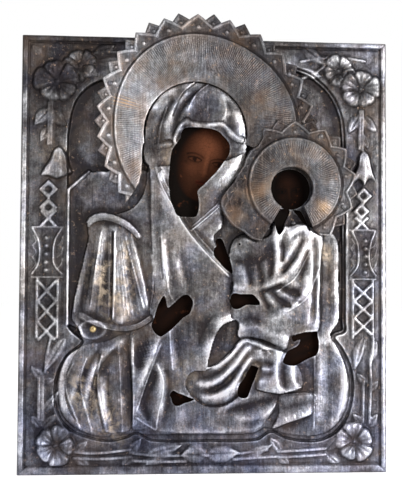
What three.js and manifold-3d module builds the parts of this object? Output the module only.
// Religious icon: a wooden panel in a chased metal cover with two toothed halo plates.
// Millimetres, +Z up, the painted side faces -Y. The origin lies in the middle of the flat
// underside of the cover's lower flange, on which the icon stands.
import * as THREE from "three";
import { mergeVertices } from "three/addons/utils/BufferGeometryUtils.js";
import Module from "manifold-3d";

const wasm = await Module();
wasm.setup();

// Cover sheet and its flange
const panelWidth = 222.25;
const panelHeight = 263;
const sheetThickness = 0.7;
const flangeDepth = 18;
const borderRise = 2.4;
const borderSlope = 2.2;
const beadWidth = 4.2;
const beadRise = 1.3;
const wallWidth = 1.2;

// Wooden board, its linen, ground and battens
const boardThickness = 26;
const groundThickness = 1.4;
const linenThickness = 0.4;
const boardClearance = 0.3;
const plankJointOffset = 18;
const battenWidth = 26;
const battenTaper = 5;
const battenDepth = 7;
const battenProud = 3;
const battenFlare = 1.8;
const battenGap = 0.3;
const battenEndInset = 4;
const ringBattenClearance = 9.1;
const lowerBattenHeight = 57;

// Figure in relief, as heights over the sunk field of the sheet
const bodyRise = 3.2;
const mantleRise = 4.3;
const robeRise = 4.4;
const sleeveRise = 4.6;
const veilRise = 5.2;
const capRise = 6.6;
const childRise = 6.4;
const lapRise = 5.6;
const foldRise = 1.5;
const foldHalfWidth = 1.7;
const reliefSoftness = 2.6;
const narrowSoftness = 1.3;

// Border ornament
const petalRise = 2.3;
const leafRise = 1.6;
const bellRise = 2.2;
const strapRise = 1.1;
const strapHalfWidth = 0.8;
const flowerRadius = 11.4;
const flowerEyeRadius = 2.4;
const pearlRadius = 1.5;
const pearlPitch = 4.95;
const diamondRadius = 4.9;
const petalCount = 5;

// Halo plates
const plateThickness = 0.6;
const largeHaloLift = 5.4;
const largeHaloRadius = 55.3;
const largeHaloOvality = 1.5;
const largeHaloDome = 1.6;
const largeHaloInnerRadius = 31.2;
const largeRimWidth = 12.7;
const largeRimNarrowing = 2.4;
const largeToothDepth = 2.9;
const largeToothPitch = 15.65;
const largeFirstTooth = 94;
const smallHaloLift = 8;
const smallHaloRadius = 28.2;
const smallHaloDome = 1.4;
const smallHaloHoleRadius = 12.8;
const smallRimWidth = 10.6;
const smallToothDepth = 2.6;
const smallToothPitch = 28.6;
const smallFirstTooth = 90;
const ringGrooveWidth = 1.6;

// Nails, pin, staple and ring
const nailHeadRadius = 2.1;
const nailHeadRise = 1.1;
const nailShankRadius = 0.85;
const nailGap = 0.3;
const flangeNailLength = 14;
const haloNailHeadRadius = 1.6;
const haloNailLength = 22;
const frontNailLength = 16;
const stapleWire = 2;
const stapleLegDepth = 11;
const stapleDrop = 15.5;
const ringWire = 2.2;
const ringRadius = 10;
const eyeClearance = 0.5;
const ringStandoff = 3;

// One overrun serves every cut that has to break through a face.
const overrun = 2;

// Derived levels in depth
const frontY = -flangeDepth / 2;
const groundFrontY = frontY + sheetThickness + boardClearance;
const linenFrontY = groundFrontY + groundThickness;
const boardFrontY = linenFrontY + linenThickness;
const boardBackY = boardFrontY + boardThickness;
const boardInset = sheetThickness + boardClearance;
const boardWidth = panelWidth - 2 * boardInset;
const boardHeight = panelHeight - 2 * boardInset;
const ringAxisY = boardBackY + ringStandoff;
const stapleBend = (ringWire + stapleWire) / 2 + eyeClearance;
const stapleHeight = panelHeight - stapleDrop;
const ringLowest = stapleHeight - 2 * ringRadius - ringWire / 2;
const battenHalf = (battenWidth + battenTaper) / 2 + battenFlare;
const upperBattenHeight = ringLowest - ringBattenClearance - battenHalf;

const finish = {
  silver: { color: 0x8b8880, roughness: 0.42, metalness: 0.9 },
  haloSilver: { color: 0x97928a, roughness: 0.38, metalness: 0.9 },
  wood: { color: 0x7a5a3a, roughness: 0.8, metalness: 0 },
  darkWood: { color: 0x5f432a, roughness: 0.8, metalness: 0 },
  paint: { color: 0x2a1c14, roughness: 0.6, metalness: 0 },
  linen: { color: 0xb8a98a, roughness: 0.9, metalness: 0 },
  brass: { color: 0xa98a4a, roughness: 0.4, metalness: 0.9 },
  iron: { color: 0x4a4643, roughness: 0.6, metalness: 0.8 },
};

// The plan of the front has x to the right and y up, with height towards the viewer. This
// matrix stands the plan upright in front of the board.
const standUp = new THREE.Matrix4().set(1, 0, 0, 0, 0, 0, -1, frontY, 0, 1, 0, 0, 0, 0, 0, 1);

function planPoint([xShare, heightShare]) {
  return new THREE.Vector2((xShare - 0.5) * panelWidth, heightShare * panelHeight);
}

function solidOf(geometry) {
  const plain = geometry.clone();
  for (const name of Object.keys(plain.attributes)) {
    if (name !== "position") plain.deleteAttribute(name);
  }
  const merged = mergeVertices(plain);
  const mesh = new wasm.Mesh({
    numProp: 3,
    vertProperties: new Float32Array(merged.attributes.position.array),
    triVerts: new Uint32Array(merged.index.array),
  });
  return new wasm.Manifold(mesh);
}

function geometryOf(solid) {
  const mesh = solid.getMesh();
  const geometry = new THREE.BufferGeometry();
  geometry.setAttribute("position", new THREE.BufferAttribute(mesh.vertProperties, 3));
  geometry.setIndex(new THREE.BufferAttribute(mesh.triVerts, 1));
  geometry.computeVertexNormals();
  return geometry;
}

function joined(solids) {
  return solids.reduce((all, next) => all.add(next));
}

function meshOf(name, geometry, look) {
  const mesh = new THREE.Mesh(geometry, new THREE.MeshStandardMaterial(look));
  mesh.name = name;
  return mesh;
}

function box(width, depth, height, x, y, z) {
  return new THREE.BoxGeometry(width, depth, height).translate(x, y, z);
}

// Moves each side of an outline inwards by the same distance, or outwards where it is negative.
function insetOutline(outline, distance) {
  return outline.map((point, i) => {
    const before = outline[(i + outline.length - 1) % outline.length];
    const after = outline[(i + 1) % outline.length];
    const into = point.clone().sub(before).normalize();
    const out = after.clone().sub(point).normalize();
    const bisector = new THREE.Vector2(-into.y - out.y, into.x + out.x).normalize();
    const cosine = Math.max(bisector.dot(new THREE.Vector2(-into.y, into.x)), 0.6);
    return point.clone().addScaledVector(bisector, distance / cosine);
  });
}

// A closed solid through a stack of outlines with equal point counts, in plan coordinates.
function stack(loops) {
  const count = loops[0].points.length;
  const positions = [];
  loops.forEach(({ points, height }) => points.forEach((p) => positions.push(p.x, p.y, height)));
  const index = [];
  for (let level = 0; level + 1 < loops.length; level += 1) {
    for (let i = 0; i < count; i += 1) {
      const a = level * count + i;
      const b = level * count + ((i + 1) % count);
      index.push(a, b, b + count, a, b + count, a + count);
    }
  }
  const top = (loops.length - 1) * count;
  for (const [a, b, c] of THREE.ShapeUtils.triangulateShape(loops[0].points, [])) {
    index.push(c, b, a);
  }
  for (const [a, b, c] of THREE.ShapeUtils.triangulateShape(loops[loops.length - 1].points, [])) {
    index.push(top + a, top + b, top + c);
  }
  const geometry = new THREE.BufferGeometry();
  geometry.setAttribute("position", new THREE.Float32BufferAttribute(positions, 3));
  geometry.setIndex(index);
  return geometry;
}

// A raised area of the sheet with a rounded shoulder. Levels are pairs of inset and height.
function raised(outline, levels) {
  const ring = THREE.ShapeUtils.isClockWise(outline) ? outline.slice().reverse() : outline;
  return solidOf(stack(levels.map(([inset, height]) => ({ points: insetOutline(ring, inset), height }))));
}

function pillow(outline, rise, softness) {
  const levels = [
    [0, -sheetThickness / 2],
    [0, rise - softness * 0.8],
    [softness * 0.35, rise - softness * 0.25],
    [softness, rise],
  ];
  return raised(outline, levels);
}

// The hollow that chasing leaves on the back of a pillow.
function pillowHollow(outline, rise) {
  const levels = [
    [wallWidth, -sheetThickness - overrun],
    [wallWidth, rise - reliefSoftness * 0.8 - sheetThickness],
    [wallWidth + reliefSoftness, rise - sheetThickness],
  ];
  return raised(outline, levels);
}

// A crest along a line of points, which runs out to nothing at both ends.
function crest(points, foot, rise, halfWidth) {
  const line = points.map(planPoint);
  const positions = [];
  line.forEach((point, i) => {
    const before = line[Math.max(i - 1, 0)];
    const after = line[Math.min(i + 1, line.length - 1)];
    const along = after.clone().sub(before).normalize();
    const end = i === 0 || i === line.length - 1;
    const half = end ? halfWidth / 4 : halfWidth;
    const height = end ? foot + rise / 4 : foot + rise;
    const side = new THREE.Vector2(-along.y, along.x).multiplyScalar(half);
    positions.push(point.x + side.x, point.y + side.y, -sheetThickness / 2);
    positions.push(point.x + side.x, point.y + side.y, foot);
    positions.push(point.x, point.y, height);
    positions.push(point.x - side.x, point.y - side.y, foot);
    positions.push(point.x - side.x, point.y - side.y, -sheetThickness / 2);
  });
  const sides = 5;
  const index = [];
  for (let i = 0; i + 1 < line.length; i += 1) {
    for (let j = 0; j < sides; j += 1) {
      const a = i * sides + j;
      const b = i * sides + ((j + 1) % sides);
      index.push(a, b, b + sides, a, b + sides, a + sides);
    }
  }
  const last = (line.length - 1) * sides;
  for (let j = 1; j + 1 < sides; j += 1) {
    index.push(0, j + 1, j);
    index.push(last, last + j, last + j + 1);
  }
  const geometry = new THREE.BufferGeometry();
  geometry.setAttribute("position", new THREE.Float32BufferAttribute(positions, 3));
  geometry.setIndex(index);
  return solidOf(geometry);
}

// A low dome with an oval plan, for petals, leaves and pearls.
function dome(center, length, width, turn, foot, rise, sides = 8) {
  const profile = [
    new THREE.Vector2(0, 0),
    new THREE.Vector2(1, 0),
    new THREE.Vector2(0.72, 0.7),
    new THREE.Vector2(0, 1),
  ];
  const lathe = new THREE.LatheGeometry(profile, sides);
  lathe.rotateX(Math.PI / 2);
  lathe.scale(length / 2, width / 2, rise);
  lathe.rotateZ(THREE.MathUtils.degToRad(turn));
  lathe.translate(center.x, center.y, foot);
  return solidOf(lathe);
}

function prism(outline, low, high) {
  return raised(outline, [[0, low], [0, high]]);
}

function circle(center, radius, sides) {
  return Array.from({ length: sides }, (_, i) => {
    const angle = (2 * Math.PI * i) / sides;
    return new THREE.Vector2(center.x + radius * Math.cos(angle), center.y + radius * Math.sin(angle));
  });
}

// Outlines on the front, as shares of the panel's width and height
const cartoucheShares = [
  [0.134, 0.65], [0.134, 0.78], [0.142, 0.835], [0.168, 0.872], [0.215, 0.893], [0.3, 0.92],
  [0.5, 0.945], [0.7, 0.945], [0.775, 0.93], [0.83, 0.895], [0.862, 0.85], [0.876, 0.8],
  [0.878, 0.35], [0.851, 0.315], [0.878, 0.285], [0.9, 0.245], [0.906, 0.2], [0.895, 0.145],
  [0.865, 0.1], [0.82, 0.078], [0.77, 0.073], [0.72, 0.079], [0.68, 0.094], [0.64, 0.078],
  [0.36, 0.078], [0.315, 0.092], [0.27, 0.075], [0.21, 0.078], [0.155, 0.098], [0.115, 0.128],
  [0.096, 0.175], [0.1, 0.225], [0.12, 0.27], [0.165, 0.305], [0.134, 0.338],
];
const bodyShares = [
  [0.2, 0.59], [0.262, 0.592], [0.31, 0.612], [0.335, 0.655], [0.342, 0.72], [0.346, 0.79],
  [0.362, 0.83], [0.396, 0.866], [0.45, 0.888], [0.505, 0.887], [0.553, 0.865], [0.588, 0.828],
  [0.6, 0.78], [0.598, 0.73], [0.59, 0.66], [0.62, 0.59], [0.7, 0.56], [0.8, 0.56],
  [0.858, 0.54], [0.864, 0.44], [0.862, 0.35], [0.836, 0.315], [0.866, 0.275], [0.888, 0.21],
  [0.88, 0.155], [0.855, 0.112], [0.8, 0.088], [0.72, 0.094], [0.66, 0.106], [0.5, 0.096],
  [0.34, 0.096], [0.29, 0.1], [0.22, 0.091], [0.165, 0.109], [0.125, 0.138], [0.112, 0.18],
  [0.116, 0.23], [0.142, 0.28], [0.178, 0.312], [0.172, 0.36], [0.186, 0.42], [0.199, 0.5],
  [0.206, 0.55],
];
const veilShares = [
  [0.349, 0.449], [0.347, 0.532], [0.345, 0.627], [0.345, 0.703], [0.349, 0.772], [0.365, 0.825],
  [0.399, 0.863], [0.451, 0.882], [0.504, 0.882], [0.554, 0.859], [0.585, 0.819], [0.594, 0.776],
  [0.59, 0.741], [0.567, 0.703], [0.545, 0.654], [0.536, 0.608], [0.538, 0.57], [0.52, 0.544],
  [0.522, 0.502], [0.545, 0.471], [0.518, 0.441], [0.464, 0.43], [0.428, 0.422], [0.392, 0.413],
];
const capShares = [
  [0.386, 0.66], [0.378, 0.74], [0.396, 0.8], [0.428, 0.842], [0.48, 0.865], [0.53, 0.857],
  [0.566, 0.824], [0.581, 0.785], [0.578, 0.74], [0.556, 0.7], [0.526, 0.655], [0.506, 0.6],
  [0.478, 0.566], [0.44, 0.572], [0.405, 0.605],
];
const sleeveShares = [
  [0.203, 0.563], [0.23, 0.568], [0.266, 0.561], [0.298, 0.542], [0.322, 0.494], [0.338, 0.441],
  [0.349, 0.38], [0.343, 0.356], [0.311, 0.34], [0.266, 0.337], [0.221, 0.348], [0.181, 0.365],
  [0.178, 0.388], [0.185, 0.449], [0.194, 0.513],
];
const childShares = [
  [0.572, 0.422], [0.565, 0.464], [0.565, 0.51], [0.581, 0.532], [0.612, 0.542], [0.648, 0.53],
  [0.675, 0.544], [0.698, 0.567], [0.734, 0.561], [0.761, 0.568], [0.788, 0.557], [0.817, 0.536],
  [0.817, 0.475], [0.813, 0.399], [0.806, 0.337], [0.77, 0.335], [0.734, 0.312], [0.711, 0.287],
  [0.671, 0.3], [0.626, 0.312], [0.59, 0.314], [0.583, 0.342], [0.57, 0.357], [0.567, 0.386],
  [0.565, 0.403],
];
const lapShares = [
  [0.594, 0.306], [0.563, 0.272], [0.531, 0.247], [0.5, 0.234], [0.464, 0.23], [0.451, 0.205],
  [0.469, 0.177], [0.5, 0.16], [0.54, 0.158], [0.572, 0.171], [0.588, 0.19], [0.608, 0.236],
  [0.635, 0.257], [0.648, 0.251], [0.642, 0.221], [0.639, 0.196], [0.68, 0.186], [0.725, 0.184],
  [0.759, 0.198], [0.756, 0.236], [0.734, 0.259], [0.707, 0.274], [0.671, 0.293], [0.635, 0.304],
];
const robeShares = [
  [0.304, 0.319], [0.338, 0.35], [0.365, 0.403], [0.41, 0.426], [0.464, 0.433], [0.518, 0.445],
  [0.554, 0.441], [0.563, 0.411], [0.565, 0.376], [0.54, 0.361], [0.518, 0.335], [0.504, 0.297],
  [0.496, 0.251], [0.46, 0.232], [0.446, 0.202], [0.464, 0.175], [0.491, 0.144], [0.509, 0.103],
  [0.419, 0.101], [0.338, 0.112], [0.313, 0.152], [0.304, 0.228],
];
const leftLapShares = [
  [0.128, 0.2], [0.15, 0.262], [0.2, 0.298], [0.275, 0.305], [0.305, 0.26], [0.305, 0.13],
  [0.25, 0.108], [0.175, 0.122], [0.135, 0.155],
];
const rightLapShares = [
  [0.815, 0.304], [0.837, 0.306], [0.86, 0.285], [0.882, 0.243], [0.889, 0.205], [0.88, 0.152],
  [0.855, 0.114], [0.817, 0.099], [0.813, 0.19],
];
const rightMantleShares = [
  [0.824, 0.538], [0.86, 0.538], [0.862, 0.449], [0.862, 0.373], [0.851, 0.346], [0.824, 0.338],
  [0.824, 0.437],
];

// Bells below the leaves of the side columns
const bellShares = [
  [
    [0.069, 0.679], [0.08, 0.71], [0.088, 0.736], [0.105, 0.75], [0.122, 0.734], [0.13, 0.706],
    [0.134, 0.68], [0.103, 0.67],
  ],
  [
    [0.904, 0.668], [0.916, 0.71], [0.92, 0.734], [0.936, 0.748], [0.954, 0.734], [0.96, 0.708],
    [0.972, 0.673], [0.938, 0.662],
  ],
];

// Windows in the sheet over the painted parts
const windowShares = {
  face: [
    [0.451, 0.794], [0.439, 0.791], [0.43, 0.771], [0.4075, 0.742], [0.4, 0.7], [0.398, 0.66],
    [0.404, 0.625], [0.423, 0.589], [0.473, 0.588], [0.481, 0.61], [0.478, 0.645],
    [0.481, 0.652], [0.511, 0.676], [0.53, 0.693], [0.549, 0.715], [0.564, 0.738],
    [0.564, 0.76], [0.55, 0.773], [0.535, 0.785], [0.51, 0.793],
  ],
  childFace: [
    [0.672, 0.65], [0.678, 0.682], [0.7, 0.7], [0.733, 0.705], [0.765, 0.7], [0.788, 0.675],
    [0.793, 0.645], [0.783, 0.62], [0.772, 0.6], [0.786, 0.565], [0.758, 0.592],
    [0.734, 0.606], [0.722, 0.575], [0.7, 0.548], [0.694, 0.57], [0.694, 0.602], [0.68, 0.62],
  ],
  blessingHand: [
    [0.528, 0.533], [0.535, 0.538], [0.545, 0.537], [0.556, 0.517], [0.57, 0.482],
    [0.574, 0.458], [0.551, 0.47], [0.525, 0.496], [0.523, 0.512], [0.531, 0.521],
  ],
  scrollHand: [
    [0.571, 0.405], [0.58, 0.412], [0.63, 0.409], [0.642, 0.4], [0.648, 0.386], [0.614, 0.385],
    [0.593, 0.376], [0.578, 0.377], [0.569, 0.388],
  ],
  rightHand: [
    [0.388, 0.405], [0.395, 0.389], [0.399, 0.378], [0.427, 0.398], [0.441, 0.407],
    [0.454, 0.407], [0.466, 0.39], [0.458, 0.365], [0.423, 0.34], [0.392, 0.3175],
    [0.38, 0.312], [0.362, 0.323], [0.355, 0.34], [0.367, 0.371],
  ],
  leftHand: [
    [0.81, 0.324], [0.775, 0.323], [0.75, 0.317], [0.739, 0.31], [0.744, 0.3], [0.762, 0.3045],
    [0.754, 0.29], [0.725, 0.276], [0.713, 0.254], [0.732, 0.246], [0.75, 0.246],
    [0.785, 0.261], [0.806, 0.27], [0.814, 0.285], [0.814, 0.3],
  ],
  leftFoot: [
    [0.409, 0.186], [0.417, 0.188], [0.444, 0.179], [0.471, 0.169], [0.444, 0.16],
    [0.42, 0.155], [0.412, 0.162], [0.407, 0.176],
  ],
  rightFoot: [
    [0.627, 0.245], [0.646, 0.24], [0.637, 0.215], [0.623, 0.186], [0.614, 0.173],
    [0.602, 0.171], [0.591, 0.178], [0.591, 0.195], [0.605, 0.213],
  ],
};

// Chased folds and hems: a foot level, a size and the points of each crest, as shares of the panel
const foldShares = [
  [bodyRise, 1.3, [
    [0.185, 0.574], [0.208, 0.586], [0.239, 0.584], [0.271, 0.574], [0.298, 0.559], [0.318, 0.54],
  ]],
  [sleeveRise, 1.2, [[0.226, 0.551], [0.21, 0.494], [0.196, 0.437], [0.19, 0.38]]],
  [sleeveRise, 1.5, [[0.268, 0.551], [0.271, 0.475], [0.273, 0.399], [0.273, 0.342]]],
  [sleeveRise, 1, [[0.293, 0.544], [0.313, 0.487], [0.331, 0.433], [0.345, 0.384]]],
  [bodyRise, 1.2, [
    [0.176, 0.363], [0.208, 0.348], [0.253, 0.337], [0.284, 0.333], [0.32, 0.338], [0.347, 0.354],
  ]],
  [veilRise, 0.8, [[0.352, 0.684], [0.354, 0.608], [0.356, 0.532], [0.361, 0.449]]],
  [veilRise, 1.3, [
    [0.37, 0.677], [0.392, 0.639], [0.419, 0.597], [0.455, 0.551], [0.5, 0.508], [0.54, 0.473],
  ]],
  [veilRise, 1.3, [[0.381, 0.536], [0.383, 0.494], [0.39, 0.449], [0.388, 0.414]]],
  [veilRise, 1, [[0.415, 0.498], [0.426, 0.46], [0.437, 0.422]]],
  [veilRise, 1, [[0.531, 0.608], [0.496, 0.58], [0.46, 0.553]]],
  [capRise, 1.1, [[0.406, 0.764], [0.399, 0.798], [0.415, 0.833], [0.446, 0.859]]],
  [capRise, 1.2, [[0.437, 0.81], [0.448, 0.833], [0.473, 0.857]]],
  [capRise, 1, [[0.545, 0.806], [0.554, 0.829], [0.54, 0.852]]],
  [capRise, 1.2, [
    [0.41, 0.757], [0.421, 0.783], [0.444, 0.808], [0.464, 0.802], [0.5, 0.798], [0.543, 0.8],
    [0.563, 0.783], [0.583, 0.764],
  ]],
  [veilRise, 1, [[0.361, 0.749], [0.406, 0.753]]],
  [veilRise, 1, [[0.579, 0.738], [0.558, 0.707], [0.522, 0.671], [0.487, 0.639]]],
  [bodyRise, 1, [
    [0.176, 0.297], [0.136, 0.279], [0.113, 0.243], [0.109, 0.198], [0.118, 0.152],
    [0.142, 0.118], [0.185, 0.099],
  ]],
  [mantleRise, 1.1, [[0.221, 0.289], [0.187, 0.251], [0.163, 0.209], [0.149, 0.171]]],
  [mantleRise, 1.2, [[0.271, 0.293], [0.23, 0.264], [0.203, 0.228], [0.187, 0.19]]],
  [mantleRise, 1.3, [[0.223, 0.221], [0.228, 0.171], [0.239, 0.129]]],
  [robeRise, 1.2, [[0.307, 0.304], [0.308, 0.236], [0.312, 0.179], [0.316, 0.122]]],
  [robeRise, 1.8, [[0.37, 0.304], [0.358, 0.27], [0.336, 0.224], [0.316, 0.183]]],
  [robeRise, 1.5, [[0.365, 0.251], [0.381, 0.228], [0.385, 0.198], [0.383, 0.16], [0.37, 0.122]]],
  [robeRise, 1.1, [[0.408, 0.327], [0.41, 0.281], [0.417, 0.236]]],
  [robeRise, 1.2, [[0.491, 0.251], [0.5, 0.285], [0.513, 0.323], [0.536, 0.354], [0.567, 0.369]]],
  [lapRise, 1, [[0.594, 0.297], [0.563, 0.264], [0.527, 0.241], [0.491, 0.228]]],
  [lapRise, 1.3, [
    [0.617, 0.285], [0.585, 0.251], [0.552, 0.221], [0.518, 0.203], [0.482, 0.202],
  ]],
  [lapRise, 1.8, [
    [0.603, 0.243], [0.576, 0.211], [0.543, 0.186], [0.504, 0.173], [0.478, 0.183],
  ]],
  [lapRise, 1.2, [[0.693, 0.27], [0.687, 0.236], [0.698, 0.202]]],
  [lapRise, 1.1, [[0.732, 0.251], [0.741, 0.228], [0.75, 0.205]]],
  [lapRise, 1, [[0.648, 0.2], [0.68, 0.192], [0.72, 0.19], [0.752, 0.202]]],
  [lapRise, 1.2, [[0.599, 0.304], [0.635, 0.295], [0.68, 0.283], [0.707, 0.276]]],
  [childRise, 1, [[0.59, 0.344], [0.617, 0.344], [0.648, 0.335], [0.68, 0.319], [0.72, 0.308]]],
  [childRise, 0.9, [[0.799, 0.529], [0.801, 0.475], [0.799, 0.399], [0.795, 0.346]]],
  [childRise, 0.9, [[0.777, 0.529], [0.786, 0.456], [0.786, 0.399], [0.774, 0.346]]],
  [childRise, 1, [[0.702, 0.447], [0.743, 0.479], [0.772, 0.521]]],
  [childRise, 1, [[0.689, 0.544], [0.693, 0.494], [0.684, 0.445]]],
  [childRise, 0.9, [[0.716, 0.538], [0.738, 0.555], [0.77, 0.563]]],
  [childRise, 0.9, [[0.576, 0.43], [0.608, 0.426], [0.653, 0.428], [0.707, 0.447]]],
  [childRise, 0.8, [[0.707, 0.435], [0.756, 0.424]]],
  [childRise, 0.8, [[0.689, 0.42], [0.752, 0.39]]],
  [childRise, 0.8, [[0.592, 0.475], [0.608, 0.433]]],
  [childRise, 0.8, [[0.63, 0.479], [0.637, 0.433]]],
  [bodyRise, 0.8, [[0.871, 0.532], [0.871, 0.437], [0.869, 0.35]]],
  [mantleRise, 1, [[0.873, 0.251], [0.878, 0.205], [0.871, 0.16], [0.862, 0.125]]],
  [bodyRise, 1.1, [[0.801, 0.266], [0.799, 0.183], [0.797, 0.103]]],
  [bodyRise, 1.1, [[0.684, 0.108], [0.725, 0.12], [0.788, 0.137]]],
  [bodyRise, 0.8, [[0.705, 0.175], [0.702, 0.144], [0.693, 0.118]]],
  [bodyRise, 1, [[0.536, 0.141], [0.576, 0.16], [0.635, 0.177]]],
  [bodyRise, 1, [[0.581, 0.129], [0.626, 0.125], [0.671, 0.139], [0.698, 0.16]]],
  [bodyRise, 1, [[0.509, 0.097], [0.617, 0.101], [0.657, 0.116]]],
];

// Border ornament. Flowers and leaves give a centre, a length and a width and a turn in degrees.
const flowerShares = [
  [0.088, 0.893], [0.925, 0.891], [0.1, 0.066], [0.91, 0.067],
];
const rearFlowerShares = [[0.15, 0.93], [0.872, 0.928]];
const leafLongShare = 0.042;
const leafWideShare = 0.019;
const leafShares = [
  [0.052, 0.805, 60, 1], [0.1, 0.8, 110, 1], [0.056, 0.772, 80, 0.7], [0.1, 0.705, 80, 1.7],
  [0.085, 0.68, 20, 1], [0.095, 0.275, 62, 1.6], [0.048, 0.237, 20, 0.9], [0.08, 0.213, 20, 0.8],
  [0.083, 0.172, 100, 1.3], [0.087, 0.13, 60, 0.8], [0.055, 0.12, 120, 0.7], [0.91, 0.8, 65, 1.2],
  [0.957, 0.805, 125, 1], [0.938, 0.763, 90, 0.7], [0.933, 0.703, 95, 1.8], [0.925, 0.275, 118, 1.5],
  [0.955, 0.285, 80, 1], [0.93, 0.215, 145, 0.8], [0.963, 0.2, 130, 0.8], [0.92, 0.13, 110, 0.9],
  [0.96, 0.125, 50, 0.9], [0.175, 0.065, 30, 0.8], [0.176, 0.028, 150, 0.7], [0.318, 0.068, 60, 0.9],
  [0.3, 0.032, 50, 0.9], [0.39, 0.058, 12, 2], [0.535, 0.051, 0, 1.4], [0.63, 0.052, 165, 2],
  [0.69, 0.063, 110, 0.9], [0.715, 0.03, 130, 0.9], [0.855, 0.061, 150, 0.8], [0.857, 0.027, 30, 0.8],
  [0.8, 0.965, 135, 1.4], [0.79, 0.923, 20, 1.2], [0.72, 0.97, 120, 1], [0.22, 0.965, 60, 1.2],
];
const diamondShares = [[0.075, 0.648], [0.075, 0.607], [0.936, 0.64], [0.93, 0.603]];
const pearlTopShare = 0.536;
const pearlColumnShares = [0.07, 0.943];
const pearlCount = 5;
const strapShares = [
  [[0.032, 0.455], [0.047, 0.475], [0.052, 0.5], [0.048, 0.53], [0.032, 0.555]],
  [[0.112, 0.455], [0.093, 0.475], [0.089, 0.5], [0.095, 0.53], [0.11, 0.55]],
  [[0.9, 0.455], [0.918, 0.48], [0.922, 0.505], [0.918, 0.53], [0.905, 0.55]],
  [[0.97, 0.455], [0.958, 0.475], [0.953, 0.5], [0.958, 0.53], [0.966, 0.55]],
  [[0.036, 0.446], [0.07, 0.444], [0.106, 0.446]],
  [[0.9, 0.447], [0.93, 0.447], [0.966, 0.447]],
  [[0.05, 0.44], [0.05, 0.39], [0.05, 0.33], [0.052, 0.3]],
  [[0.1, 0.44], [0.085, 0.413], [0.102, 0.388], [0.084, 0.37], [0.102, 0.34], [0.073, 0.31]],
  [[0.906, 0.44], [0.906, 0.39], [0.906, 0.33], [0.925, 0.3]],
  [[0.962, 0.44], [0.947, 0.413], [0.962, 0.388], [0.947, 0.365], [0.962, 0.345], [0.94, 0.3]],
  [[0.066, 0.59], [0.076, 0.58], [0.088, 0.565]],
  [[0.064, 0.567], [0.076, 0.58], [0.086, 0.592]],
  [[0.15, 0.051], [0.22, 0.05], [0.285, 0.051]],
  [[0.19, 0.037], [0.24, 0.036], [0.28, 0.037]],
  [[0.7, 0.05], [0.77, 0.05], [0.83, 0.051]],
  [[0.72, 0.038], [0.77, 0.038], [0.82, 0.038]],
  [[0.055, 0.215], [0.056, 0.17], [0.057, 0.13]],
  [[0.945, 0.195], [0.944, 0.16], [0.941, 0.12]],
  [[0.81, 0.964], [0.87, 0.964], [0.94, 0.963]],
  [[0.455, 0.055], [0.47, 0.042], [0.472, 0.024]],
  [[0.488, 0.055], [0.475, 0.042], [0.455, 0.028]],
];

const masses = [
  [bodyShares, bodyRise],
  [robeShares, robeRise],
  [veilShares, veilRise],
  [capShares, capRise],
  [sleeveShares, sleeveRise],
  [childShares, childRise],
  [lapShares, lapRise],
  [leftLapShares, mantleRise],
];
const narrowMasses = [
  [rightLapShares, mantleRise],
  [rightMantleShares, mantleRise],
];

// Rounded bead along the cover's outer edge, mitred at the corners
function edgeBead() {
  const profile = [
    [0, -sheetThickness / 2],
    [0, borderRise - beadRise],
    [beadWidth * 0.2, borderRise + beadRise * 0.6],
    [beadWidth * 0.5, borderRise + beadRise],
    [beadWidth * 0.8, borderRise + beadRise * 0.6],
    [beadWidth, borderRise - sheetThickness],
    [beadWidth, -sheetThickness / 2],
  ];
  const corners = [[0, 0], [1, 0], [1, 1], [0, 1]].map(planPoint);
  const positions = [];
  corners.forEach((corner) => {
    const inX = -Math.sign(corner.x);
    const inY = corner.y > 0 ? -1 : 1;
    profile.forEach(([inset, height]) => {
      positions.push(corner.x + inX * inset, corner.y + inY * inset, height);
    });
  });
  const index = [];
  for (let i = 0; i < corners.length; i += 1) {
    for (let j = 0; j < profile.length; j += 1) {
      const a = i * profile.length + j;
      const b = i * profile.length + ((j + 1) % profile.length);
      const c = ((i + 1) % corners.length) * profile.length + j;
      const d = ((i + 1) % corners.length) * profile.length + ((j + 1) % profile.length);
      index.push(a, c, d, a, d, b);
    }
  }
  const geometry = new THREE.BufferGeometry();
  geometry.setAttribute("position", new THREE.Float32BufferAttribute(positions, 3));
  geometry.setIndex(index);
  return solidOf(geometry);
}

function panelOutline(inset) {
  return insetOutline([[0, 0], [1, 0], [1, 1], [0, 1]].map(planPoint), inset);
}

function border() {
  const cartouche = cartoucheShares.map(planPoint);
  const band = raised(panelOutline(beadWidth / 2), [[0, -sheetThickness / 2], [0, borderRise]]);
  const well = raised(cartouche, [
    [borderSlope / 2, -sheetThickness - overrun],
    [borderSlope / 2, 0],
    [-borderSlope / 2, borderRise],
    [-borderSlope / 2, borderRise + overrun],
  ]);
  return band.subtract(well);
}

function borderHollow() {
  const cartouche = cartoucheShares.map(planPoint);
  const edge = beadWidth + wallWidth;
  const band = raised(panelOutline(edge), [
    [0, -sheetThickness - overrun],
    [0, borderRise - sheetThickness],
  ]);
  const kept = raised(cartouche, [
    [-wallWidth, -sheetThickness - overrun - overrun],
    [-wallWidth - borderSlope, borderRise + overrun],
  ]);
  return band.subtract(kept);
}

function flower(centerShares, radius, foot, rise) {
  const center = planPoint(centerShares);
  const parts = [dome(center, 2 * flowerEyeRadius, 2 * flowerEyeRadius, 0, foot, rise * 1.3, 6)];
  for (let i = 0; i < petalCount; i += 1) {
    const turn = 90 + (360 * i) / petalCount;
    const angle = THREE.MathUtils.degToRad(turn);
    const reach = radius * 0.58;
    const place = new THREE.Vector2(center.x + reach * Math.cos(angle), center.y + reach * Math.sin(angle));
    parts.push(dome(place, radius * 0.92, radius * 0.95, turn, foot, rise));
  }
  return parts;
}

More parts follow.
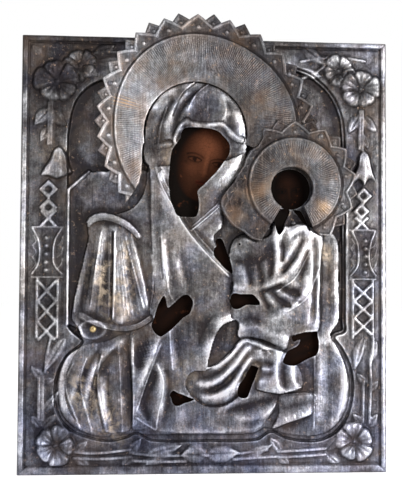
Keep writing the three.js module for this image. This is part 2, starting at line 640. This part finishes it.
function diamond(shares) {
  const center = planPoint(shares);
  const half = diamondRadius;
  const profile = [
    new THREE.Vector2(half * 0.45, -strapRise / 2),
    new THREE.Vector2(half, -strapRise / 2),
    new THREE.Vector2(half * 0.72, strapRise),
    new THREE.Vector2(half * 0.45, -strapRise / 2),
  ];
  const ring = new THREE.LatheGeometry(profile, 4);
  ring.rotateX(Math.PI / 2);
  ring.translate(center.x, center.y, borderRise);
  return solidOf(ring);
}

function fold(level, size, points) {
  return crest(points, level - sheetThickness, foldRise * size + sheetThickness, foldHalfWidth * size);
}

function ornament() {
  const foot = borderRise - sheetThickness / 2;
  const parts = [];
  flowerShares.forEach((place) => parts.push(...flower(place, flowerRadius, foot, petalRise)));
  rearFlowerShares.forEach((place) => {
    parts.push(...flower(place, flowerRadius * 0.85, foot, petalRise * 0.6));
  });
  leafShares.forEach(([x, y, turn, size]) => {
    const long = leafLongShare * panelWidth * size;
    const wide = leafWideShare * panelWidth * Math.sqrt(size);
    parts.push(dome(planPoint([x, y]), long, wide, turn, foot, leafRise, 6));
  });
  diamondShares.forEach((place) => parts.push(diamond(place)));
  pearlColumnShares.forEach((column) => {
    for (let i = 0; i < pearlCount; i += 1) {
      const center = planPoint([column, pearlTopShare]);
      center.y -= i * pearlPitch;
      parts.push(dome(center, 2 * pearlRadius, 2 * pearlRadius, 0, foot, pearlRadius, 6));
    }
  });
  strapShares.forEach((points) => parts.push(crest(points, borderRise, strapRise, strapHalfWidth)));
  return parts;
}

function ringPoint(center, radius, degrees) {
  const angle = THREE.MathUtils.degToRad(degrees);
  return new THREE.Vector2(center.x + radius * Math.cos(angle), center.y + radius * Math.sin(angle));
}

const largeHaloCenterShares = [0.4903, 0.7968];
const smallHaloCenterShares = [0.7394, 0.6635];
const largeHaloCenter = planPoint(largeHaloCenterShares);
const smallHaloCenter = planPoint(smallHaloCenterShares);

// A point of a halo plate, as shares of its ring's radius from its centre
function haloPoint(center, radius, [acrossShare, upShare]) {
  return new THREE.Vector2(center.x + radius * acrossShare, center.y + radius * upShare);
}

const largeHaloInnerShares = [-0.0839, -0.0897];
const smallHaloHoleShares = [-0.0567, -0.0922];
const largeHaloInnerCenter = haloPoint(largeHaloCenter, largeHaloRadius, largeHaloInnerShares);
const smallHaloHoleCenter = haloPoint(smallHaloCenter, smallHaloRadius, smallHaloHoleShares);

function largeHaloEdge(degrees) {
  return largeHaloRadius + largeHaloOvality * Math.cos(THREE.MathUtils.degToRad(3 * degrees));
}

// Toothed edge between two angles: a tip at each half pitch and a notch between the tips
function toothedEdge(center, reach, depth, first, pitch, from, to) {
  const points = [];
  const start = Math.ceil((from - first) / (pitch / 4));
  for (let i = start; first + (i * pitch) / 4 <= to; i += 1) {
    const degrees = first + (i * pitch) / 4;
    const radius = reach(degrees) - (i % 2 === 0 ? 0 : depth);
    points.push(ringPoint(center, radius, degrees));
  }
  return points;
}

const largeHaloEndShares = [
  [-0.843, -0.829], [-0.785, -0.789], [-0.733, -0.727], [-0.692, -0.651], [-0.666, -0.536],
  [-0.662, -0.408], [-0.652, -0.213],
];

function largeHaloOutline() {
  const reach = (degrees) => {
    const narrowing = THREE.MathUtils.smoothstep(degrees, 160, 205) * largeRimNarrowing;
    return largeHaloEdge(degrees) + largeRimWidth - narrowing;
  };
  const rim = toothedEdge(
    largeHaloCenter, reach, largeToothDepth, largeFirstTooth, largeToothPitch, -22, 226,
  );
  const inner = [];
  for (let degrees = 175; degrees >= -10; degrees -= 9.25) {
    inner.push(ringPoint(largeHaloInnerCenter, largeHaloInnerRadius, degrees));
  }
  const corner = ringPoint(largeHaloInnerCenter, largeHaloInnerRadius, -24);
  const end = largeHaloEndShares.map((shares) => haloPoint(largeHaloCenter, largeHaloRadius, shares));
  return [...rim, ...end, ...inner, corner];
}

const smallHaloTailShares = [
  [-0.696, 0.984], [-0.807, 0.807], [-0.972, 0.695], [-1.114, 0.368], [-1.319, 0.005],
  [-1.563, -0.303], [-1.603, -0.405], [-1.58, -0.536], [-1.469, -0.741], [-1.319, -0.918],
  [-1.098, -1.04], [-0.918, -1.188], [-0.657, -1.254], [-0.562, -0.974], [-0.452, -0.704],
];
const smallHaloNeckShares = [[0.304, -0.722], [0.399, -0.947], [0.517, -1.058]];

function smallHaloOutline() {
  const reach = () => smallHaloRadius + smallRimWidth;
  const rim = toothedEdge(
    smallHaloCenter, reach, smallToothDepth, smallFirstTooth, smallToothPitch, -55, 115,
  );
  const hole = [];
  for (let degrees = -118; degrees >= -424; degrees -= 18) {
    hole.push(ringPoint(smallHaloHoleCenter, smallHaloHoleRadius, degrees));
  }
  const placed = (shares) => haloPoint(smallHaloCenter, smallHaloRadius, shares);
  return [...rim, ...smallHaloTailShares.map(placed), ...hole, ...smallHaloNeckShares.map(placed)];
}

// A shallow domed ring with a groove outside it, turned round the halo's centre
function domedPlate(center, inside, edge, outside, lift, rise, segments) {
  const middle = (inside + edge) / 2;
  const top = [
    [outside, 0],
    [edge + ringGrooveWidth, 0],
    [edge, rise * 0.35],
    [middle, rise],
    [inside, rise * 0.35],
  ];
  const upper = top.map(([radius, height]) => new THREE.Vector2(radius, height + plateThickness));
  const lower = top.map(([radius, height]) => new THREE.Vector2(radius, height)).reverse();
  const profile = [...lower, ...upper, lower[0].clone()];
  const plate = new THREE.LatheGeometry(profile, segments);
  plate.rotateX(Math.PI / 2);
  plate.translate(center.x, center.y, lift);
  return solidOf(plate);
}

// Nail places on the front, in plan coordinates, with the level that each head rests on
const largeHaloNailDegrees = [156.6, 203.6, 31.4];
const smallHaloNailDegrees = [61.4, -24.4];
const brassNailShares = [0.198, 0.329];
const collarPinShares = [0.743, 0.575];

function haloNails(name, degreesList, center, radius, lift) {
  return degreesList.map((degrees, i) => ({
    name: `${name}_${i + 1}`,
    place: ringPoint(center, radius, degrees),
    seat: lift + plateThickness,
    head: haloNailHeadRadius,
    length: haloNailLength,
  }));
}

function frontNails() {
  const largeRadius = largeHaloRadius + largeRimWidth * 0.45;
  const smallRadius = smallHaloRadius + smallRimWidth * 0.45;
  const nails = [
    ...haloNails("large_halo_nail", largeHaloNailDegrees, largeHaloCenter, largeRadius, largeHaloLift),
    ...haloNails("small_halo_nail", smallHaloNailDegrees, smallHaloCenter, smallRadius, smallHaloLift),
  ];
  nails.push({
    name: "brass_nail",
    place: planPoint(brassNailShares),
    seat: bodyRise,
    head: nailHeadRadius,
    length: frontNailLength,
  });
  nails.push({
    name: "collar_pin",
    place: planPoint(collarPinShares),
    seat: 0,
    head: haloNailHeadRadius,
    length: frontNailLength,
  });
  return nails;
}

// A nail along +Z with its head's seat at zero
function nailGeometry(headRadius, length) {
  const profile = [
    new THREE.Vector2(0, -length),
    new THREE.Vector2(nailShankRadius, -length + 3 * nailShankRadius),
    new THREE.Vector2(nailShankRadius, 0),
    new THREE.Vector2(headRadius, 0),
    new THREE.Vector2(headRadius * 0.7, nailHeadRise * 0.75),
    new THREE.Vector2(0, nailHeadRise),
  ];
  return new THREE.LatheGeometry(profile, 6).rotateX(Math.PI / 2);
}

// The hole for a nail, from above its head's seat to past its point
function nailHole(length) {
  const center = new THREE.Vector2(0, 0);
  return stack([
    { points: circle(center, nailShankRadius + nailGap, 6), height: -length - nailGap },
    { points: circle(center, nailShankRadius + nailGap, 6), height: overrun / 4 },
  ]);
}

function onFront(geometry, place, height) {
  return geometry.translate(place.x, place.y, height).applyMatrix4(standUp);
}

// Flange nails, each with the turn and shift that set it on its side of the cover
const sideNailShares = [0.1, 0.37, 0.63, 0.9];
const topNailShares = [0.18, 0.5, 0.82];

function flangeNails() {
  const nails = [];
  sideNailShares.forEach((share, i) => {
    const height = share * panelHeight;
    nails.push({
      name: `flange_nail_left_${i + 1}`,
      set: (g) => g.rotateY(-Math.PI / 2).translate(-panelWidth / 2, 0, height),
    });
    nails.push({
      name: `flange_nail_right_${i + 1}`,
      set: (g) => g.rotateY(Math.PI / 2).translate(panelWidth / 2, 0, height),
    });
  });
  topNailShares.forEach((share, i) => {
    nails.push({
      name: `flange_nail_top_${i + 1}`,
      set: (g) => g.translate((share - 0.5) * panelWidth, 0, panelHeight),
    });
  });
  return nails;
}

const frontHoles = joined(
  frontNails().map((nail) => solidOf(onFront(nailHole(nail.length), nail.place, nail.seat))),
);
const flangeHoles = joined(flangeNails().map((nail) => solidOf(nail.set(nailHole(flangeNailLength)))));

function upright(solid) {
  return solidOf(geometryOf(solid).applyMatrix4(standUp));
}

function coverSheet() {
  const tray = prism(panelOutline(0), -flangeDepth, 0)
    .subtract(prism(panelOutline(sheetThickness), -flangeDepth - overrun, -sheetThickness));
  const hollows = [
    borderHollow(),
    ...masses.map(([shares, rise]) => pillowHollow(shares.map(planPoint), rise)),
  ];
  const raisedParts = [
    border(),
    edgeBead(),
    ...masses.map(([shares, rise]) => pillow(shares.map(planPoint), rise, reliefSoftness)),
    ...narrowMasses.map(([shares, rise]) => pillow(shares.map(planPoint), rise, narrowSoftness)),
    ...foldShares.map(([level, size, points]) => fold(level, size, points)),
    ...bellShares.map((shares) => pillow(shares.map(planPoint), borderRise + bellRise, narrowSoftness)),
    ...ornament(),
  ];
  const deepest = childRise + foldRise + overrun;
  const windows = Object.values(windowShares).map((shares) => (
    prism(shares.map(planPoint), -sheetThickness - overrun, deepest)
  ));
  const front = joined([tray, ...raisedParts]).subtract(joined(hollows)).subtract(joined(windows));
  return upright(front).subtract(frontHoles).subtract(flangeHoles);
}

function largeHalo() {
  const plate = domedPlate(
    largeHaloCenter, largeHaloInnerRadius * 0.75, largeHaloRadius,
    largeHaloRadius + largeRimWidth + overrun, largeHaloLift, largeHaloDome, 40,
  );
  const outline = prism(largeHaloOutline(), largeHaloLift - overrun, largeHaloLift + largeHaloDome + overrun);
  return upright(plate.intersect(outline)).subtract(frontHoles);
}

function smallHalo() {
  const plate = domedPlate(
    smallHaloCenter, smallHaloHoleRadius * 0.6, smallHaloRadius,
    smallHaloRadius + 2 * smallRimWidth, smallHaloLift, smallHaloDome, 32,
  );
  const outline = prism(smallHaloOutline(), smallHaloLift - overrun, smallHaloLift + smallHaloDome + overrun);
  return upright(plate.intersect(outline)).subtract(frontHoles);
}

// Dovetail batten: wider at its inner face than at the back of the board, and tapered in length
function battenSolid(height, flip, gap) {
  const half = boardWidth / 2 - battenEndInset + gap;
  const positions = [];
  [-1, 1].forEach((end) => {
    const wide = (battenWidth + (end === flip ? battenTaper : 0)) / 2;
    const rows = [
      [wide + battenFlare + gap, boardBackY - battenDepth - gap],
      [wide + gap, boardBackY],
      [wide + gap, boardBackY + battenProud + (gap > 0 ? overrun : 0)],
    ];
    rows.forEach(([w, y]) => positions.push(end * half, y, height + w));
    rows.reverse().forEach(([w, y]) => positions.push(end * half, y, height - w));
  });
  const sides = 6;
  const index = [];
  for (let j = 0; j < sides; j += 1) {
    const k = (j + 1) % sides;
    index.push(j, k + sides, k, j, j + sides, k + sides);
  }
  for (let j = 1; j + 1 < sides; j += 1) {
    index.push(0, j, j + 1);
    index.push(sides, sides + j + 1, sides + j);
  }
  const geometry = new THREE.BufferGeometry();
  geometry.setAttribute("position", new THREE.Float32BufferAttribute(positions, 3));
  geometry.setIndex(index);
  return solidOf(geometry);
}

const battens = [
  ["batten_upper", upperBattenHeight, 1],
  ["batten_lower", lowerBattenHeight, -1],
];

function stapleHoles() {
  const depth = stapleLegDepth + nailGap;
  const middle = new THREE.Vector2(0, 0);
  return joined([1, -1].map((side) => {
    const leg = stack([
      { points: circle(middle, stapleWire / 2 + nailGap, 8), height: -overrun },
      { points: circle(middle, stapleWire / 2 + nailGap, 8), height: depth },
    ]);
    leg.applyMatrix4(new THREE.Matrix4().set(1, 0, 0, 0, 0, 0, -1, boardBackY, 0, 1, 0, 0, 0, 0, 0, 1));
    leg.translate(0, 0, stapleHeight + side * stapleBend);
    return solidOf(leg);
  }));
}

function plank(left, right) {
  const blank = box(
    right - left, boardThickness, boardHeight,
    (left + right) / 2, (boardFrontY + boardBackY) / 2, boardInset + boardHeight / 2,
  );
  let solid = solidOf(blank).subtract(frontHoles).subtract(flangeHoles).subtract(stapleHoles());
  battens.forEach(([, height, flip]) => {
    solid = solid.subtract(battenSolid(height, flip, battenGap));
  });
  return solid;
}

function layer(front, thickness) {
  const blank = box(
    boardWidth, thickness, boardHeight, 0, front + thickness / 2, boardInset + boardHeight / 2,
  );
  return solidOf(blank).subtract(frontHoles);
}

function staple() {
  const path = new THREE.CurvePath();
  const start = new THREE.Vector3(0, boardBackY - stapleLegDepth, stapleHeight + stapleBend);
  const shoulder = new THREE.Vector3(0, ringAxisY, stapleHeight + stapleBend);
  path.add(new THREE.LineCurve3(start, shoulder));
  const turns = 8;
  let last = shoulder;
  for (let i = 1; i <= turns; i += 1) {
    const angle = (Math.PI * i) / turns;
    const next = new THREE.Vector3(
      0, ringAxisY + stapleBend * Math.sin(angle), stapleHeight + stapleBend * Math.cos(angle),
    );
    path.add(new THREE.LineCurve3(last, next));
    last = next;
  }
  path.add(new THREE.LineCurve3(last, new THREE.Vector3(0, start.y, stapleHeight - stapleBend)));
  const points = [start, ...path.curves.map((curve) => curve.v2)];
  return wireThrough(points, stapleWire / 2, 8);
}

// A wire of round section through points in the plane x = 0, mitred at each bend
function wireThrough(points, radius, sides) {
  const positions = [];
  points.forEach((point, i) => {
    const into = point.clone().sub(points[Math.max(i - 1, 0)]).normalize();
    const out = points[Math.min(i + 1, points.length - 1)].clone().sub(point).normalize();
    const along = into.clone().add(out).normalize();
    const across = new THREE.Vector3(0, -along.z, along.y);
    const reach = i === 0 || i === points.length - 1 ? 1 : 1 / along.dot(out);
    for (let j = 0; j < sides; j += 1) {
      const angle = (2 * Math.PI * j) / sides;
      const offset = across.clone().multiplyScalar(radius * reach * Math.cos(angle));
      positions.push(point.x + radius * Math.sin(angle), point.y + offset.y, point.z + offset.z);
    }
  });
  const index = [];
  for (let i = 0; i + 1 < points.length; i += 1) {
    for (let j = 0; j < sides; j += 1) {
      const a = i * sides + j;
      const b = i * sides + ((j + 1) % sides);
      index.push(a, b, b + sides, a, b + sides, a + sides);
    }
  }
  const last = (points.length - 1) * sides;
  for (let j = 1; j + 1 < sides; j += 1) {
    index.push(0, j + 1, j);
    index.push(last, last + j, last + j + 1);
  }
  const geometry = new THREE.BufferGeometry();
  geometry.setAttribute("position", new THREE.Float32BufferAttribute(positions, 3));
  geometry.setIndex(index);
  return geometry;
}

function hangingRing() {
  const ring = new THREE.TorusGeometry(ringRadius, ringWire / 2, 6, 24);
  ring.rotateX(Math.PI / 2);
  return ring.translate(0, ringAxisY, stapleHeight - ringRadius);
}

const icon = new THREE.Group();
icon.name = "religious_icon";
icon.add(meshOf("board_plank_wide", geometryOf(plank(-boardWidth / 2, plankJointOffset)), finish.wood));
icon.add(meshOf("board_plank_narrow", geometryOf(plank(plankJointOffset, boardWidth / 2)), finish.wood));
battens.forEach(([name, height, flip]) => {
  icon.add(meshOf(name, geometryOf(battenSolid(height, flip, 0)), finish.darkWood));
});
icon.add(meshOf("linen_underlay", geometryOf(layer(linenFrontY, linenThickness)), finish.linen));
icon.add(meshOf("painted_ground", geometryOf(layer(groundFrontY, groundThickness)), finish.paint));
icon.add(meshOf("cover_sheet", geometryOf(coverSheet()), finish.silver));
icon.add(meshOf("large_halo", geometryOf(largeHalo()), finish.haloSilver));
icon.add(meshOf("small_halo", geometryOf(smallHalo()), finish.haloSilver));
frontNails().forEach((nail) => {
  const look = nail.name === "brass_nail" ? finish.brass : finish.silver;
  icon.add(meshOf(nail.name, onFront(nailGeometry(nail.head, nail.length), nail.place, nail.seat), look));
});
flangeNails().forEach((nail) => {
  icon.add(meshOf(nail.name, nail.set(nailGeometry(nailHeadRadius, flangeNailLength)), finish.silver));
});
icon.add(meshOf("hanging_staple", staple(), finish.iron));
icon.add(meshOf("hanging_ring", hangingRing(), finish.iron));

export default icon;
